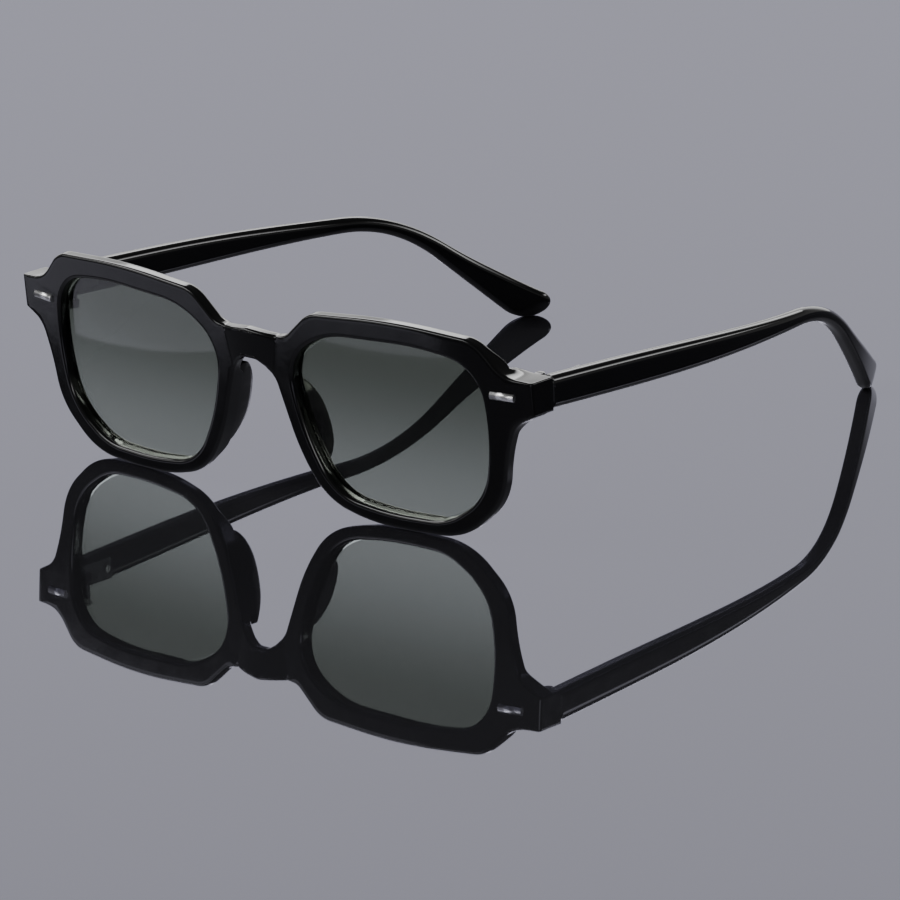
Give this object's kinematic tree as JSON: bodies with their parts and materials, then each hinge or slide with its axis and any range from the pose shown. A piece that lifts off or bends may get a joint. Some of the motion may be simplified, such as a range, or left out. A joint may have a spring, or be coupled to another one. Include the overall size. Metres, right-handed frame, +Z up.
{
  "type": "sunglasses",
  "caption": "Black square sunglasses with smoke lenses, a raised bridge, bright plaques on the end pieces and folding temples.",
  "frame": {"origin": "on the floor that the open glasses stand on, at the centre of their bounding box", "axes": "+X towards one temple, the right-hand one seen from the front, +Y from the front back to the temple tips, +Z up"},
  "size_m": [0.142, 0.1448, 0.0445],
  "materials": {
    "black_plastic": "polished",
    "tinted_lens": "clear, darker at the top",
    "plaque_metal": "satin with a bevel",
    "hinge_steel": "tumbled",
    "rivet_metal": "polished heads"
  },
  "bodies": {
    "front": {"front_frame": "black_plastic", "lens_right": "tinted_lens", "lens_left": "tinted_lens", "nose_pad_right": "black_plastic", "nose_pad_left": "black_plastic", "plaque_right": "plaque_metal", "plaque_left": "plaque_metal", "front_leaf_right": "hinge_steel", "front_leaf_left": "hinge_steel", "front_rivet_right_upper": "rivet_metal", "front_rivet_right_lower": "rivet_metal", "front_rivet_left_upper": "rivet_metal", "front_rivet_left_lower": "rivet_metal", "hinge_screw_right": "hinge_steel", "hinge_screw_left": "hinge_steel"},
    "right_arm": {"temple_right": "black_plastic", "temple_leaf_right": "hinge_steel", "temple_rivet_right_fore": "rivet_metal", "temple_rivet_right_rear": "rivet_metal"},
    "left_arm": {"temple_left": "black_plastic", "temple_leaf_left": "hinge_steel", "temple_rivet_left_fore": "rivet_metal", "temple_rivet_left_rear": "rivet_metal"}
  },
  "joints": [
    {"name": "right_fold", "type": "hinge", "parent": "front", "child": "right_arm", "pos_m": [0.0661, -0.05671, 0.03285], "axis": [0, 0, 1], "range_deg": [0, 80]},
    {"name": "left_fold", "type": "hinge", "parent": "front", "child": "left_arm", "pos_m": [-0.0661, -0.05671, 0.03285], "axis": [0, 0, -1], "range_deg": [0, 70]}
  ]
}
